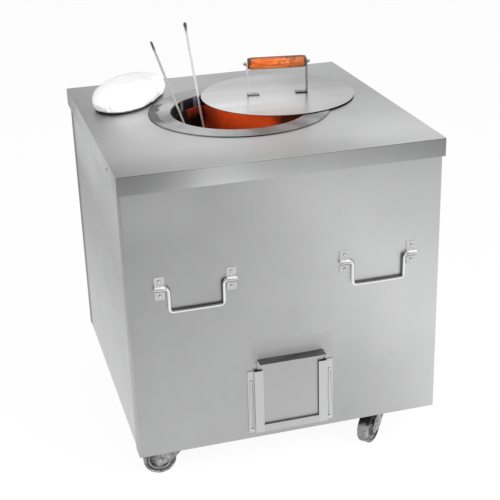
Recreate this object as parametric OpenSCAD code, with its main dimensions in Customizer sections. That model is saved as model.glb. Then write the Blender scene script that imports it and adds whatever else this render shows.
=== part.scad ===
// Square stainless tandoor on casters: a clay pot packed in insulation inside a
// sheet cabinet, with its lid, two skewers and a bread pad. Millimetres, +Z up.
// The origin is on the floor, under the middle of the whole outline.

/* [Cabinet] */
// Width and depth of the square top cover
cover_w = 710; // [640:5:800]
// Height of the top cover's upper face above the floor
top_h = 760; // [720:5:840]
// Height of the cover's turned-down flange
flange_h = 41; // [34:1:60]
// Sheet thickness of the top cover
cover_t = 1.5; // [1:0.1:2.5]
// Radius of the cover's folded edges
cover_fold_r = 2.5; // [2.5:0.5:5]
// How far the flange stands out past the panels
overhang = 5.5; // [4:0.5:10]
// Sheet thickness of the panels
panel_t = 1.2; // [0.8:0.1:2]
// Radius of the front and back panels' folded corners
panel_fold_r = 2.5; // [2:0.5:5]
// Length of the front panel's side returns
return_l = 40; // [20:1:80]
// Length of the back panel's side returns
back_return_l = 18; // [10:1:60]
// How far the front panel reaches below the base plate
skirt = 4; // [0:1:4]
// How much higher the side and back panels end than the front panel
side_lift = 5; // [0:1:8]
// Height of the flange screws below the cover's upper face
flange_screw_drop = 21; // [14:1:24]
// Distance of the flange screws from the cabinet's middle
flange_screw_y = 240; // [150:5:270]
// Diameter of the flange screws' heads
flange_head_d = 8; // [6:0.5:10]
// Diameter of the flange screws' shanks
flange_screw_d = 4; // [3:0.5:5]

/* [Frame] */
// Leg length of the angle bars
angle_leg = 30; // [25:1:40]
// Thickness of the angle bars
angle_t = 3; // [2:0.5:5]
// Thickness of the base plate
base_t = 5; // [3:0.5:8]

/* [Mouth] */
// How far the mouth's centre lies behind the cabinet's centre
mouth_back = 11; // [0:1:25]
// Outer radius of the collar
collar_r = 211.5; // [200:0.5:220]
// Radius of the collar's opening
mouth_r = 159.5; // [150:0.5:165]
// Thickness of the collar's ring and neck
collar_t = 2; // [1.5:0.1:3]
// Depth of the collar's neck below the cover's upper face
neck_h = 24; // [18:1:32]

/* [Clay pot] */
// Radius of the pot's opening
pot_mouth_r = 152; // [140:1:155]
// Inner radius of the pot at its widest
pot_belly_r = 228; // [210:1:240]
// Inner radius of the pot at its foot
pot_foot_r = 205; // [190:1:215]
// Wall thickness of the pot
pot_wall = 30; // [22:1:34]
// Height of the widest place, as a height above the hearth
belly_z = 235; // [180:5:300]
// Thickness of the hearth slab under the pot
slab_t = 27; // [20:1:35]

/* [Fire grate] */
// How far the grate's middle lies behind the cabinet's centre
grate_y = 0; // [-10:1:20]
// Diameter of the fire grate
grate_d = 290; // [240:2:296]
// Thickness of the grate's bars
grate_t = 12; // [8:1:16]
// Height of the grate's legs
grate_leg_h = 102; // [95:1:125]
// Distance between the grate's bars
bar_pitch = 28; // [24:1:36]
// Width of one grate bar
bar_w = 14; // [10:1:18]

/* [Ash door] */
// Clear width of the ash opening
ash_w = 110; // [90:1:120]
// Clear height of the ash opening
ash_h = 108; // [80:1:110]
// Width of the sliding door
door_w = 152; // [140:1:156]
// Height of the sliding door
door_h = 164; // [150:1:175]
// Sheet thickness of the door, guides and sill
door_t = 2; // [1.5:0.1:3]
// Depth of the lip at the top of the door
lip_d = 27; // [15:1:35]
// Height of the door's lower edge above the front panel's edge
door_foot = 33; // [30:1:45]
// Distance between the two guides' raised strips
guide_gap = 129; // [124:1:134]
// Width of a guide's raised strip
strip_w = 20; // [16:1:24]
// Width of a guide's screwed flange
guide_flange_w = 15; // [12:1:20]
// How far the raised strips and the sill stand out
strip_proud = 8; // [6:0.5:12]
// Height of the guides
guide_h = 156; // [140:1:160]
// Height of the sill between the guides
sill_h = 18; // [12:1:22]
// Diameter of the guide screws' heads
guide_head_d = 8; // [6:0.5:10]
// Distance of the guide screws from a guide's upper and lower end
guide_screw_end = [26, 8]; // [5:1:40]

/* [Bail handles] */
// Distance of a bail's middle from the cabinet's middle
bail_x = 204; // [160:1:240]
// Depth of the bail's hinge line below the cover's upper face
bail_drop = 255; // [200:1:320]
// Diameter of the bail's rod
rod_d = 8; // [6:0.5:10]
// Distance between the two legs of a bail
bail_w = 118; // [90:1:140]
// Height of a hanging bail, from its hinge line to its lower rod
bail_h = 55; // [40:1:70]
// Distance between the two straps of a bail
strap_pitch = 155; // [140:1:170]
// Width of a strap
strap_w = 22; // [18:1:26]
// Length of a strap's plate
strap_l = 52; // [44:1:60]
// Thickness of a strap
strap_t = 2; // [1.5:0.1:3]
// Distance of the strap's rivets from the hinge line
strap_rivet = 17; // [14:0.5:20]
// Diameter of the rivet heads
rivet_head_d = 8; // [6:0.5:9]

/* [Lid] */
// Place of the lid's centre, from the cabinet's centre
lid_at = [120, 97]; // [80:1:140]
// Radius of the lid
lid_r = 185; // [175:1:188]
// Thickness of the lid
lid_t = 2; // [1.5:0.1:3]
// Turn of the lid's handle
lid_turn = -9.8; // [-30:0.2:30]
// Distance between the two uprights of the lid's handle
upright_gap = 140; // [120:1:160]
// Height of the grip's middle above the lid
grip_z = 76; // [60:1:90]
// Diameter of the wooden grip
grip_d = 29; // [24:1:34]
// Width of the handle's strip
strip_lid_w = 18; // [14:1:22]
// Thickness of the handle's strip
strip_lid_t = 3; // [2:0.5:4]
// Length of the strip's foot
foot_l = 26; // [20:1:34]
// Diameter of the rod through the grip
grip_rod_d = 6; // [5:0.5:8]

/* [Skewers] */
// Length of a skewer
skewer_l = 709; // [650:1:800]
// Diameter of a skewer
skewer_d = 6; // [5:0.5:7]
// Directions from the mouth's centre in which the skewers lean on its edge
skewer_lean = [146.3, 114]; // [100:0.5:170]
// Sideways places of the skewers' points on the grate
skewer_foot_x = [20, -27]; // [-60:1:60]
// Grate bars on which the skewers' points stand, counted from the middle
skewer_foot_bar = [-2, 0]; // [-4:1:4]
// Turns of the skewers' eyes
skewer_eye_turn = [-60, 0]; // [-90:1:90]
// Outer diameter of the eye at a skewer's end
eye_d = 14; // [12:1:20]
// Wire diameter of the eye
eye_wire = 5; // [4:0.5:6]

/* [Bread pad] */
// Length of the pad
pad_l = 258; // [200:2:270]
// Width of the pad
pad_w = 150; // [120:2:156]
// Height of the pad
pad_h = 56; // [50:1:80]
// Place of the pad's middle, from the cabinet's centre
pad_at = [-226, 176]; // [-260:1:190]
// Turn of the pad
pad_turn = 51; // [20:1:80]

/* [Casters] */
// Overall height of a caster
caster_h = 108; // [104:1:120]
// Distance of the casters' pivots from the middle, sideways
caster_x = 245; // [200:1:260]
// Distance of the casters' pivots from the middle, front to back
caster_y = 258; // [200:1:270]
// Diameter of the wheels
wheel_d = 76; // [65:1:80]
// Width of the wheels
wheel_w = 28; // [22:1:32]
// Offset of a wheel's axle from its pivot
trail = 45; // [36:1:52]
// Directions in which the wheels trail: front left, front right, rear left, rear right
trail_turn = [176, 224, 205, 150]; // [0:1:359]
// Diameter of the axle bolts
axle_d = 8; // [6:0.5:10]
// Diameter of the kingpins
kingpin_d = 10; // [8:0.5:12]
// Length and width of a caster's plate
plate_size = [86, 64]; // [56:1:110]
// Distances between the bolts of a caster's plate
bolt_pitch = [66, 44]; // [36:1:90]

/* [Hidden] */
$fn = 64;

// Gap where two bodies meet, and running clearance of a shaft in its hole
meet = 0.3;
run = 0.05;
eps = 1;

// Finishes
steel = [0.78, 0.78, 0.79];
mild_steel = [0.36, 0.37, 0.38];
clay = [0.76, 0.30, 0.12];

// Levels
base_z = caster_h;
floor_z = base_z + base_t;
panel_z = base_z - skirt;
hearth_z = floor_z + slab_t;
under_z = top_h - cover_t;
pot_top_z = top_h - neck_h;
grate_z = hearth_z + grate_leg_h + grate_t;

// Plan sizes of the cabinet, from the outside inwards
body = cover_w / 2 - overhang;
inner_x = body - 2 * panel_t;
inner_y = body - panel_t;

// The door's lip stands out further than the rear bails, so the cabinet sits back a little
door_gap = 0.5;
bail_axis_out = rod_d / 2 + 0.5;
front_reach = body + door_gap + lip_d;
rear_reach = max(body + bail_axis_out + rod_d / 2 + run + strap_t, cover_w / 2);
shift_y = (front_reach - rear_reach) / 2;

// Middle of the mouth, and place of the ash opening
mouth_y = mouth_back;
door_z = panel_z + door_foot;
opening_z = hearth_z + panel_t;
duct_w = ash_w + 2 * panel_t;
duct_h = ash_h + 2 * panel_t;
duct_end_y = -sqrt(pow(pot_foot_r + pot_wall, 2) - pow(duct_w / 2, 2)) + 6;

// Clay pot outline: inner radius at a height between the hearth and the pot's top
pot_h = pot_top_z - hearth_z;
function smooth(t) = (1 - cos(180 * t)) / 2;
function pot_inner(z) = z < belly_z
    ? pot_foot_r + (pot_belly_r - pot_foot_r) * sin(90 * z / belly_z)
    : pot_belly_r + (pot_mouth_r - pot_belly_r) * smooth((z - belly_z) / (pot_h - belly_z));
pot_steps = 28;

// Places of the casters: front left, front right, rear left, rear right
caster_at = [[-caster_x, -caster_y], [caster_x, -caster_y], [-caster_x, caster_y], [caster_x, caster_y]];

// Moves a piece from the cabinet's own centre to the part's frame
module cabinet() translate([0, shift_y, 0]) children();

module box(low, high) translate(low) cube(high - low);

// Flat outline with its corners rounded
module round_outline(w, d, r) {
    square([w - 2 * r, d], center = true);
    square([w, d - 2 * r], center = true);
    for (x = [-1, 1], y = [-1, 1]) translate([x * (w / 2 - r), y * (d / 2 - r)]) circle(r);
}

// Section of a box with its two upper corners rounded, from height 0 upwards
module arched_outline(w, h, r) {
    translate([-w / 2, 0]) square([w, h - r]);
    translate([-w / 2 + r, 0]) square([w - 2 * r, h]);
    for (x = [-1, 1]) translate([x * (w / 2 - r), h - r]) circle(r);
}

module arched_block(w, h, r) {
    intersection() {
        rotate([90, 0, 0]) linear_extrude(w, center = true) arched_outline(w, h, r);
        rotate([90, 0, 90]) linear_extrude(w, center = true) arched_outline(w, h, r);
        linear_extrude(h) round_outline(w, w, r);
    }
}

module flange_screw_places() {
    for (side = [-1, 1], y = [-1, 1])
        translate([side * cover_w / 2, y * flange_screw_y, top_h - flange_screw_drop])
            rotate([0, side * 90, 0]) children();
}

// Folded top cover with its flange and the mouth's hole
module top_cover() color(steel) cabinet() difference() {
    translate([0, 0, top_h - flange_h]) difference() {
        arched_block(cover_w, flange_h, cover_fold_r);
        translate([0, 0, -cover_t]) arched_block(cover_w - 2 * cover_t, flange_h, cover_fold_r - cover_t);
    }
    translate([0, mouth_y, top_h - flange_h])
        cylinder(r = mouth_r + collar_t + meet, h = flange_h + eps, $fn = 120);
    flange_screw_places() translate([0, 0, -cover_t - eps])
        cylinder(d = flange_screw_d + 0.2, h = cover_t + 2 * eps, $fn = 24);
}

// Sheet at the front, folded round both corners, from height 0 upwards
module folded_panel(return_length, height) linear_extrude(height) difference() {
    intersection() {
        round_outline(2 * body, 2 * body, panel_fold_r);
        translate([-body, -body]) square([2 * body, return_length]);
    }
    intersection() {
        round_outline(2 * inner_y, 2 * inner_y, panel_fold_r - panel_t);
        translate([-body, -inner_y]) square([2 * body, return_length]);
    }
}

// Front panel with the ash opening
module front_panel() color(steel) cabinet() difference() {
    translate([0, 0, panel_z]) folded_panel(return_l, under_z - panel_z);
    box([-ash_w / 2, -body - eps, opening_z], [ash_w / 2, -inner_y + eps, opening_z + ash_h]);
    guide_screw_places() cylinder(d = 4.2, h = 12, center = true, $fn = 24);
}

// Side panel, tucked behind the returns of the front and back panels
module side_panel(side) color(steel) cabinet() difference() {
    end_y = body - panel_fold_r;
    box([min(side * inner_x, side * inner_y), -end_y, panel_z + side_lift],
        [max(side * inner_x, side * inner_y), end_y, under_z]);
    flange_screw_places() cylinder(d = flange_screw_d + 0.2, h = 40, center = true, $fn = 24);
}

module back_panel() color(steel) cabinet() translate([0, 0, panel_z + side_lift])
    mirror([0, 1, 0]) folded_panel(back_return_l, under_z - panel_z - side_lift);

// Base plate with its holes for the caster bolts
module base_plate() color(mild_steel) cabinet() difference() {
    box([-inner_x, -inner_y, base_z], [inner_x, inner_y, floor_z]);
    for (i = [0:3]) translate([caster_at[i][0], caster_at[i][1], base_z - eps])
        caster_bolt_places() cylinder(d = 8.1, h = base_t + 2 * eps, $fn = 24);
}

// Ring of angle bar, with its flat leg at the bottom
module angle_ring() {
    difference() {
        box([-inner_x, -inner_y, 0], [inner_x, inner_y, angle_leg]);
        box([-inner_x + angle_t, -inner_y + angle_t, angle_t],
            [inner_x - angle_t, inner_y - angle_t, angle_leg + eps]);
        box([-inner_x + angle_leg, -inner_y + angle_leg, -eps],
            [inner_x - angle_leg, inner_y - angle_leg, angle_leg]);
    }
}

module base_frame() color(mild_steel) cabinet() difference() {
    translate([0, 0, floor_z]) angle_ring();
    guide_screw_places() cylinder(d = 4.1, h = 20, center = true, $fn = 24);
    box([-duct_w / 2 - meet, -body, hearth_z - meet], [duct_w / 2 + meet, 0, hearth_z + angle_leg]);
}

module top_frame() color(mild_steel) cabinet() difference() {
    translate([0, 0, under_z]) mirror([0, 0, 1]) angle_ring();
    flange_screw_places() cylinder(d = flange_screw_d + 0.1, h = 40, center = true, $fn = 24);
}

// Four corner posts between the two angle rings
module corner_posts() color(mild_steel) cabinet()
    for (x = [0, 1], y = [0, 1]) mirror([x, 0, 0]) mirror([0, y, 0])
        translate([angle_t - inner_x, angle_t - inner_y, floor_z + angle_t]) difference() {
            cube([angle_leg, angle_leg, under_z - floor_z - 2 * angle_t]);
            translate([angle_t, angle_t, -eps]) cube([angle_leg, angle_leg, under_z - floor_z]);
        }

// Collar round the mouth: a ring on the cover and a neck down to the pot
module mouth_collar() color(steel) cabinet() translate([0, mouth_y, 0]) rotate_extrude($fn = 180) {
    round_r = collar_t / 2;
    translate([mouth_r, pot_top_z]) square([collar_t, top_h + round_r - pot_top_z]);
    translate([mouth_r + round_r, top_h]) square([collar_r - mouth_r - 2 * round_r, collar_t]);
    translate([mouth_r + round_r, top_h + round_r]) circle(round_r, $fn = 24);
    translate([collar_r - round_r, top_h]) square(round_r);
    translate([collar_r - round_r, top_h + round_r]) circle(round_r, $fn = 24);
}

// Clay pot with the ash duct's hole through its foot
module clay_pot() color(clay) cabinet() difference() {
    translate([0, mouth_y, hearth_z]) rotate_extrude($fn = 120) polygon(concat(
        [for (i = [0:pot_steps]) let (z = pot_h * i / pot_steps) [pot_inner(z), z]],
        [for (i = [pot_steps:-1:0]) let (z = pot_h * i / pot_steps) [pot_inner(z) + pot_wall, z]]));
    box([-duct_w / 2 - meet, -cover_w / 2, hearth_z - eps],
        [duct_w / 2 + meet, mouth_y - pot_foot_r / 2, hearth_z + duct_h + meet]);
}

// Refractory slab that carries the pot
module hearth_slab() color([0.72, 0.64, 0.52]) cabinet()
    box([-inner_x + angle_leg + eps, -inner_y + angle_leg + eps, floor_z],
        [inner_x - angle_leg - eps, inner_y - angle_leg - eps, hearth_z]);

// Cast grate on four legs
module fire_grate() color([0.16, 0.16, 0.17]) cabinet() translate([0, grate_y, hearth_z]) {
    grate_r = grate_d / 2;
    translate([0, 0, grate_leg_h]) difference() {
        cylinder(r = grate_r, h = grate_t, $fn = 96);
        intersection() {
            translate([0, 0, -eps]) cylinder(r = grate_r - bar_w, h = grate_t + 2 * eps, $fn = 96);
            for (i = [-6:6]) translate([0, (i + 0.5) * bar_pitch, grate_t / 2])
                cube([grate_d, bar_pitch - bar_w, grate_t + 2 * eps], center = true);
        }
    }
    for (a = [45:90:315]) rotate([0, 0, a]) translate([grate_r - bar_w / 2, 0, 0])
        cylinder(d = bar_w - 3, h = grate_leg_h + grate_t / 2, $fn = 32);
}

// Insulation packed between the pot and the cabinet, clear of the frame's bars
module insulation_fill() color([0.86, 0.82, 0.70]) cabinet() difference() {
    side_x = inner_x - angle_leg - angle_t - meet;
    side_y = inner_y - angle_leg - angle_t - meet;
    low = floor_z + angle_leg + meet;
    high = under_z - angle_leg - meet;
    union() {
        box([-side_x, -side_y, hearth_z], [side_x, side_y, under_z]);
        box([-side_x, -inner_y, low], [side_x, inner_y, high]);
        box([-inner_x, -side_y, low], [inner_x, side_y, high]);
    }
    translate([0, mouth_y, hearth_z]) rotate_extrude($fn = 120) polygon(concat(
        [[0, -eps], [pot_foot_r + pot_wall + meet, -eps]],
        [for (i = [0:pot_steps]) let (z = pot_h * i / pot_steps) [pot_inner(z) + pot_wall + meet, z]],
        [[pot_mouth_r + pot_wall + meet, pot_h + meet], [0, pot_h + meet]]));
    translate([0, mouth_y, pot_top_z - eps])
        cylinder(r = mouth_r + collar_t + meet, h = neck_h + eps, $fn = 120);
    box([-duct_w / 2 - meet, -cover_w / 2, hearth_z - eps],
        [duct_w / 2 + meet, 0, hearth_z + duct_h + meet]);
    guide_screw_places() cylinder(d = 8, h = 40, center = true, $fn = 24);
}

// Rectangular duct from the ash opening into the pot's foot
module ash_duct() color(mild_steel) cabinet() difference() {
    box([-duct_w / 2, -inner_y, hearth_z], [duct_w / 2, duct_end_y + mouth_y, hearth_z + duct_h]);
    box([-ash_w / 2, -cover_w / 2, opening_z], [ash_w / 2, 0, opening_z + ash_h]);
}

// Sliding door: a plate with its upper edge folded forward as a lip
module ash_door() color(steel) cabinet() {
    box([-door_w / 2, -body - door_gap - door_t, door_z], [door_w / 2, -body - door_gap, door_z + door_h]);
    box([-door_w / 2, -body - door_gap - lip_d, door_z + door_h - door_t],
        [door_w / 2, -body - door_gap, door_z + door_h]);
}

guide_z = door_z - meet - sill_h;
strip_x = guide_gap / 2 + strip_w;
guide_screw_x = strip_x + guide_flange_w / 2 - 0.5;

module guide_screw_places() {
    for (side = [-1, 1], z = [guide_z + guide_screw_end[1], guide_z + guide_h - guide_screw_end[0]])
        translate([side * guide_screw_x, -body, z]) rotate([90, 0, 0]) children();
}

// Guide: a flange screwed to the panel, stepped out over the door's edge
module ash_guide(side) color(steel) cabinet() mirror([side > 0 ? 1 : 0, 0, 0]) difference() {
    translate([0, 0, guide_z]) linear_extrude(guide_h) {
        translate([-strip_x - guide_flange_w, -body - door_t]) square([guide_flange_w, door_t]);
        translate([-strip_x, -body - strip_proud]) square([door_t, strip_proud]);
        translate([-strip_x, -body - strip_proud]) square([strip_w, door_t]);
    }
    guide_screw_places() cylinder(d = 4.2, h = 12, center = true, $fn = 24);
}

// Folded sill on which the closed door stands
module ash_sill() color(steel) cabinet() difference() {
    box([-guide_gap / 2, -body - strip_proud, guide_z], [guide_gap / 2, -body, guide_z + sill_h]);
    box([-guide_gap, -body - strip_proud + door_t, guide_z + door_t],
        [guide_gap, -body + eps, guide_z + sill_h - door_t]);
}

// Round-headed screw along +Z, its head's seat at height 0
module round_screw(head_d, shank_d, shank_l) {
    intersection() {
        translate([0, 0, -head_d * 0.35]) sphere(d = head_d * 1.22, $fn = 40);
        cylinder(d = head_d, h = head_d / 2, $fn = 40);
    }
    translate([0, 0, -shank_l]) cylinder(d = shank_d, h = shank_l + 0.5, $fn = 24);
}

module guide_screws() color(steel) cabinet() guide_screw_places()
    translate([0, 0, door_t]) round_screw(guide_head_d, 4, door_t + panel_t + 4);

module cover_screws() color(steel) cabinet() flange_screw_places()
    round_screw(flange_head_d, flange_screw_d, overhang + 2 * panel_t + angle_t + 2);

// Puts a bail and its straps on the front or the back of the cabinet
module bail_place(side, front) {
    rotate([0, 0, front ? 0 : 180])
        translate([(front ? side : -side) * bail_x, -body - bail_axis_out, top_h - bail_drop]) children();
}

// Quarter of a bent rod, from the +X direction to the direction at 90 degrees more
module rod_bend(r) rotate_extrude(angle = 90, $fn = 40) translate([r, 0]) circle(d = rod_d, $fn = 40);

// Hanging bail: its rod's ends turn in the straps
module bail(side, front) color(steel) cabinet() bail_place(side, front) {
    bend = rod_d;
    pin_l = (strap_pitch + strap_w - bail_w) / 2 + 2 - bend;
    for (s = [0, 1]) mirror([s, 0, 0]) {
        translate([bail_w / 2 + bend, 0, 0]) rotate([0, 90, 0]) cylinder(d = rod_d, h = pin_l, $fn = 40);
        translate([bail_w / 2 + bend, 0, -bend]) rotate([90, 0, 0]) rotate([0, 0, 90]) rod_bend(bend);
        translate([bail_w / 2, 0, -bail_h + bend]) cylinder(d = rod_d, h = bail_h - 2 * bend, $fn = 40);
        translate([bail_w / 2 - bend, 0, -bail_h + bend]) rotate([90, 0, 0]) rotate([0, 0, 270])
            rod_bend(bend);
    }
    translate([-bail_w / 2 + bend, 0, -bail_h]) rotate([0, 90, 0])
        cylinder(d = rod_d, h = bail_w - 2 * bend, $fn = 40);
}

// Strap that holds a bail's end against the panel, with its two rivet holes
module strap() {
    loop_r = rod_d / 2 + run;
    rotate([90, 0, 90]) linear_extrude(strap_w, center = true) difference() {
        union() {
            translate([bail_axis_out - strap_t, -strap_l / 2]) square([strap_t, strap_l]);
            circle(loop_r + strap_t, $fn = 48);
            translate([0, -loop_r - strap_t]) square([bail_axis_out, 2 * (loop_r + strap_t)]);
        }
        circle(loop_r, $fn = 48);
        translate([0, -loop_r]) square([bail_axis_out + eps, 2 * loop_r]);
        translate([bail_axis_out, -strap_l]) square([strap_l, 2 * strap_l]);
    }
}

module bail_straps(front) color(steel) cabinet() for (side = [-1, 1], end = [-1, 1]) bail_place(side, front)
    translate([end * strap_pitch / 2, 0, 0]) difference() {
        strap();
        for (z = [-1, 1]) translate([0, bail_axis_out, z * strap_rivet]) rotate([90, 0, 0])
            cylinder(d = 4.1, h = 4 * strap_t, center = true, $fn = 24);
    }

module bail_rivets(front) color(steel) cabinet() for (side = [-1, 1], end = [-1, 1], z = [-1, 1])
    bail_place(side, front) translate([end * strap_pitch / 2, bail_axis_out - strap_t, z * strap_rivet])
        rotate([90, 0, 0]) round_screw(rivet_head_d, 4, strap_t - 0.01);

lid_z = top_h + collar_t + meet;

module lid_place() cabinet() translate([lid_at[0], lid_at[1], lid_z]) rotate([0, 0, lid_turn]) children();

// Lid disc with its turned-down rim and the holes for its rivets
module lid_disc() color([0.88, 0.88, 0.89]) lid_place() difference() {
    rotate_extrude($fn = 180) {
        square([lid_r - lid_t / 2, lid_t]);
        translate([lid_r - lid_t / 2, lid_t / 2]) circle(d = lid_t, $fn = 24);
    }
    lid_rivet_places() cylinder(d = 4.1, h = 3 * lid_t, center = true, $fn = 24);
}

module lid_rivet_places() {
    for (s = [-1, 1]) translate([s * (upright_gap / 2 - foot_l * 0.6), 0, lid_t]) children();
}

// Bent strip of the lid's handle: a foot on the lid and an upright with the rod's hole
module lid_upright(side) color(steel) lid_place() mirror([side > 0 ? 1 : 0, 0, 0]) difference() {
    union() {
        box([-upright_gap / 2 - strip_lid_t, -strip_lid_w / 2, lid_t],
            [-upright_gap / 2, strip_lid_w / 2, lid_t + grip_z]);
        box([-upright_gap / 2 - strip_lid_t, -strip_lid_w / 2, lid_t],
            [-upright_gap / 2 + foot_l, strip_lid_w / 2, lid_t + strip_lid_t]);
        translate([-upright_gap / 2 - strip_lid_t, 0, lid_t + grip_z]) rotate([0, 90, 0])
            cylinder(d = strip_lid_w, h = strip_lid_t, $fn = 48);
    }
    translate([-upright_gap / 2 - 2 * strip_lid_t, 0, lid_t + grip_z]) rotate([0, 90, 0])
        cylinder(d = grip_rod_d + 0.1, h = 4 * strip_lid_t, $fn = 32);
    lid_rivet_places() cylinder(d = 4.1, h = 6 * lid_t, center = true, $fn = 24);
}

// Turned wooden grip on its rod
module lid_grip() color([0.85, 0.42, 0.16]) lid_place() translate([0, 0, lid_t + grip_z])
    rotate([0, 90, 0]) difference() {
        half = upright_gap / 2;
        end_r = grip_d / 2 - 1.5;
        rotate_extrude($fn = 72) polygon([[0, -half], [end_r - 1, -half], [end_r, 1 - half],
            [grip_d / 2, 9 - half], [grip_d / 2, half - 9], [end_r, half - 1], [end_r - 1, half], [0, half]]);
        cylinder(d = grip_rod_d + 0.1, h = upright_gap + 2 * eps, center = true, $fn = 32);
    }

// Threaded rod through the grip and the two uprights
module lid_rod() color(steel) lid_place() translate([0, 0, lid_t + grip_z]) rotate([0, 90, 0])
    cylinder(d = grip_rod_d, h = upright_gap + 2 * strip_lid_t + 8, center = true, $fn = 32);

// Domed nut on each end of the rod
module lid_nuts() color(steel) lid_place() translate([0, 0, lid_t + grip_z]) rotate([0, 90, 0])
    for (s = [0, 1]) mirror([0, 0, s]) translate([0, 0, upright_gap / 2 + strip_lid_t]) difference() {
        union() {
            cylinder(d = grip_rod_d * 1.85, h = 4, $fn = 6);
            translate([0, 0, 3.5]) intersection() {
                sphere(d = grip_rod_d * 1.5, $fn = 32);
                cylinder(d = grip_rod_d * 2, h = grip_rod_d, $fn = 32);
            }
        }
        translate([0, 0, -eps]) cylinder(d = grip_rod_d, h = 4 + eps, $fn = 32);
    }

module lid_rivets() color(steel) lid_place() lid_rivet_places()
    translate([0, 0, strip_lid_t]) round_screw(7, 4, strip_lid_t + lid_t);

// A skewer's point stands on a grate bar
function foot_point(i) = [skewer_foot_x[i], grate_y + skewer_foot_bar[i] * bar_pitch, grate_z + meet];

// Where a skewer passes the collar's upper edge, just clear of it
function rim_point(i) = let (foot = foot_point(i), edge = [cos(skewer_lean[i]), sin(skewer_lean[i])],
        rise = top_h + collar_t - foot[2],
        outward = (mouth_r * edge - [foot[0], foot[1] - mouth_y]) * edge,
        reach = mouth_r - (skewer_d / 2 + meet) / cos(atan2(outward, rise)))
    [reach * edge[0], mouth_y + reach * edge[1], top_h + collar_t];

module skewer(i) color([0.74, 0.74, 0.75]) cabinet() {
    foot = foot_point(i);
    line = rim_point(i) - foot;
    point_l = 24;
    blunt_r = 0.8;
    eye_r = eye_d / 2;
    translate(foot) rotate([0, 0, atan2(line[1], line[0])]) rotate([0, acos(line[2] / norm(line)), 0])
        translate([0, 0, blunt_r]) {
            cylinder(r1 = blunt_r, r2 = skewer_d / 2, h = point_l, $fn = 32);
            translate([0, 0, point_l])
                cylinder(d = skewer_d, h = skewer_l - point_l - eye_d + eye_wire / 2, $fn = 32);
            translate([0, 0, skewer_l - eye_r]) rotate([0, 0, skewer_eye_turn[i]]) rotate([90, 0, 0])
                rotate_extrude($fn = 48) translate([eye_r - eye_wire / 2, 0]) circle(d = eye_wire, $fn = 24);
        }
}

// Bread pad: a flat-bottomed oval cushion with a crown, drawn-in sides and a gathered end
pad_around = 56;
pad_levels = 16;
pad_bottom = -38;
function pad_radius(t, a) = pow(cos(t), 0.85) * (1 - 0.06 * pow(max(0, cos(a)), 6))
    + 0.012 * cos(14 * a) * pow(max(0, cos(a)), 4) * cos(t);
function pad_point(k, j) = let (t = pad_bottom + (88 - pad_bottom) * k / pad_levels,
        a = 360 * j / pad_around, r = pad_radius(t, a), low = sin(pad_bottom))
    [pad_l / 2 * r * cos(a), pad_w / 2 * r * sin(a) * (1 + 0.04 * cos(a)),
        pad_h * (sin(t) - low) / (1 - low)];
function at(k, j) = k * pad_around + j % pad_around;

module bread_pad() color([0.96, 0.96, 0.96]) cabinet()
    translate([pad_at[0], pad_at[1], top_h + meet]) rotate([0, 0, pad_turn]) {
        points = [for (k = [0:pad_levels], j = [0:pad_around - 1]) pad_point(k, j)];
        polyhedron(concat(points, [[0, 0, 0], [0, 0, pad_h]]), concat(
            [for (k = [0:pad_levels - 1], j = [0:pad_around - 1]) [at(k, j), at(k + 1, j + 1), at(k, j + 1)]],
            [for (k = [0:pad_levels - 1], j = [0:pad_around - 1]) [at(k, j), at(k + 1, j), at(k + 1, j + 1)]],
            [for (j = [0:pad_around - 1]) [len(points), at(0, j), at(0, j + 1)]],
            [for (j = [0:pad_around - 1]) [len(points) + 1, at(pad_levels, j + 1), at(pad_levels, j)]]));
    }

// Caster sizes, from the floor up
crown_t = 4;
crown_r = 27;
fork_t = 2.5;
fork_gap = wheel_w + 4;
crown_z = wheel_d + 6;
plate_t = 3;
plate_z = caster_h - plate_t;
race_z = crown_z + crown_t + meet;
pin_head_t = 3;

module caster_bolt_places() {
    for (x = [-1, 1], y = [-1, 1]) translate([x * bolt_pitch[0] / 2, y * bolt_pitch[1] / 2, 0]) children();
}

module caster(i) cabinet() translate([caster_at[i][0], caster_at[i][1], 0]) children();

// Fixed plates and races of the four casters
module caster_plates() color(mild_steel) for (i = [0:3]) caster(i) difference() {
    union() {
        translate([0, 0, plate_z]) linear_extrude(plate_t) round_outline(plate_size[0], plate_size[1], 6);
        translate([0, 0, race_z]) cylinder(r1 = crown_r, r2 = crown_r - 2, h = plate_z - race_z, $fn = 64);
    }
    caster_bolt_places() translate([0, 0, plate_z - eps]) cylinder(d = 8.4, h = plate_t + 2 * eps, $fn = 24);
    translate([0, 0, race_z - eps]) cylinder(d = kingpin_d, h = plate_z, $fn = 40);
}

// Kingpins: riveted into the plates, with a head under each fork's crown
module caster_kingpins() color(mild_steel) for (i = [0:3]) caster(i) {
    translate([0, 0, crown_z - meet]) cylinder(d = kingpin_d, h = caster_h - crown_z + meet, $fn = 40);
    translate([0, 0, crown_z - meet - pin_head_t]) cylinder(d = kingpin_d * 1.7, h = pin_head_t, $fn = 40);
}

module caster_bolts() color(mild_steel) for (i = [0:3]) caster(i) caster_bolt_places() {
    translate([0, 0, plate_z]) cylinder(d = 8, h = floor_z - plate_z, $fn = 24);
    translate([0, 0, plate_z - 5]) cylinder(d = 15, h = 5, $fn = 6);
}

// Side view of a fork cheek: from the crown down to the axle, the axle lying along +X
module cheek_outline() {
    boss_r = axle_d * 1.6;
    difference() {
        union() {
            translate([trail, wheel_d / 2]) circle(boss_r, $fn = 40);
            polygon([[-crown_r * 0.82, crown_z + crown_t], [-crown_r * 0.82, crown_z - 8],
                [2, wheel_d / 2 + 12], [trail * 0.44, wheel_d / 2 - 7],
                [trail - boss_r * 0.35, wheel_d / 2 - boss_r * 0.9],
                [trail + boss_r * 0.75, wheel_d / 2 + boss_r * 0.66], [crown_r * 0.95, crown_z + crown_t]]);
        }
        translate([trail, wheel_d / 2]) circle(d = axle_d, $fn = 40);
    }
}

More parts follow.
